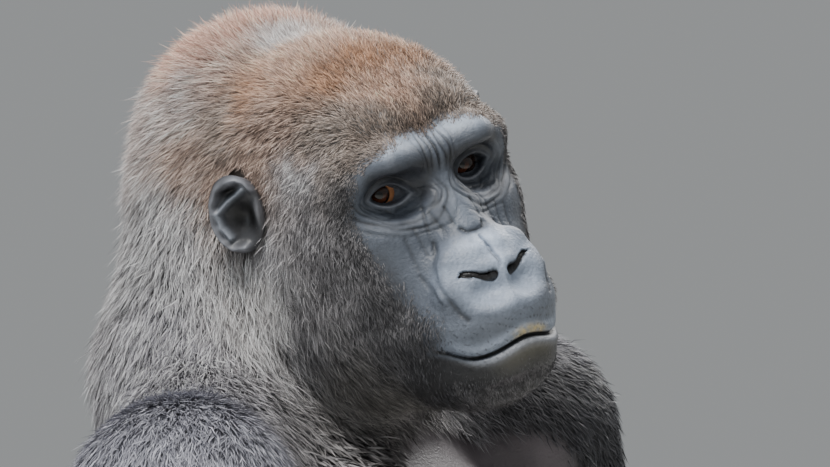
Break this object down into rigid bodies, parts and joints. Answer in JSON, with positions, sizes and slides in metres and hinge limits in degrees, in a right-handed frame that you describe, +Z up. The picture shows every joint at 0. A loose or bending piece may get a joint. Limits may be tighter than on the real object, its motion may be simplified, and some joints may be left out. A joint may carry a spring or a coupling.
{
  "type": "gorilla",
  "caption": "Sitting adult gorilla, life size and still, head turned and tilted, knuckles and soles on the floor.",
  "frame": {"origin": "on the floor, below the centre of the bounding box", "axes": "+Z up, the animal's body faces -Y, its left side is +X"},
  "size_m": [0.8426, 0.7428, 0.8917],
  "materials": {
    "coat": "coarse hair, soft sheen",
    "bare_skin": "wrinkled, slightly oily",
    "eye": "wet gloss",
    "nail": "worn satin"
  },
  "bodies": {
    "root": {"head": "coat", "neck": "coat", "trunk": "coat", "upper_arm_l": "coat", "upper_arm_r": "coat", "forearm_l": "coat", "forearm_r": "coat", "hand_l": "bare_skin", "hand_r": "bare_skin", "thigh_l": "coat", "thigh_r": "coat", "shank_l": "coat", "shank_r": "coat", "foot_l": "bare_skin", "foot_r": "bare_skin", "ear_l": "bare_skin", "ear_r": "bare_skin", "eye_l": "eye", "eye_r": "eye"}
  },
  "joints": []
}
